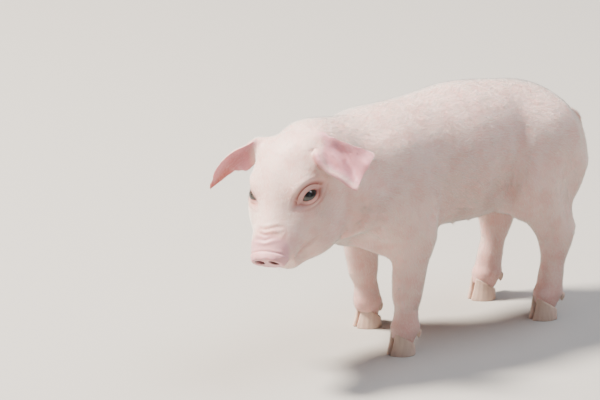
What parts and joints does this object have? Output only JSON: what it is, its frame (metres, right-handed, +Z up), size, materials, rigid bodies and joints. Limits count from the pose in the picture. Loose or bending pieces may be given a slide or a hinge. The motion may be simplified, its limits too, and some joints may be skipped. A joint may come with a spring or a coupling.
{
  "type": "piglet",
  "caption": "Life-size still model of a young white pig, standing with its head lowered and turned to its left.",
  "frame": {"origin": "on the floor, under the middle of the model's bounding box", "axes": "+X to the pig's left, +Y towards its tail, +Z up; the body faces -Y"},
  "size_m": [0.158, 0.4344, 0.254],
  "materials": {
    "skin": "pale pink skin under short white hair",
    "ear_skin": "thin pink skin with fine hair",
    "snout_skin": "bare, slightly moist pink skin",
    "claw": "pale horn",
    "eye": "wet and glossy"
  },
  "bodies": {
    "root": {"head": "skin", "left_ear": "ear_skin", "left_eye": "eye", "left_fore_claw_a": "claw", "left_fore_claw_b": "claw", "left_fore_dewclaw_a": "claw", "left_fore_dewclaw_b": "claw", "left_fore_lower_leg": "skin", "left_fore_upper_leg": "skin", "left_hind_claw_a": "claw", "left_hind_claw_b": "claw", "left_hind_dewclaw_a": "claw", "left_hind_dewclaw_b": "claw", "left_hind_lower_leg": "skin", "left_hind_upper_leg": "skin", "lower_jaw": "skin", "neck": "skin", "right_ear": "ear_skin", "right_eye": "eye", "right_fore_claw_a": "claw", "right_fore_claw_b": "claw", "right_fore_dewclaw_a": "claw", "right_fore_dewclaw_b": "claw", "right_fore_lower_leg": "skin", "right_fore_upper_leg": "skin", "right_hind_claw_a": "claw", "right_hind_claw_b": "claw", "right_hind_dewclaw_a": "claw", "right_hind_dewclaw_b": "claw", "right_hind_lower_leg": "skin", "right_hind_upper_leg": "skin", "snout": "snout_skin", "tail": "skin", "trunk": "skin"}
  },
  "joints": []
}
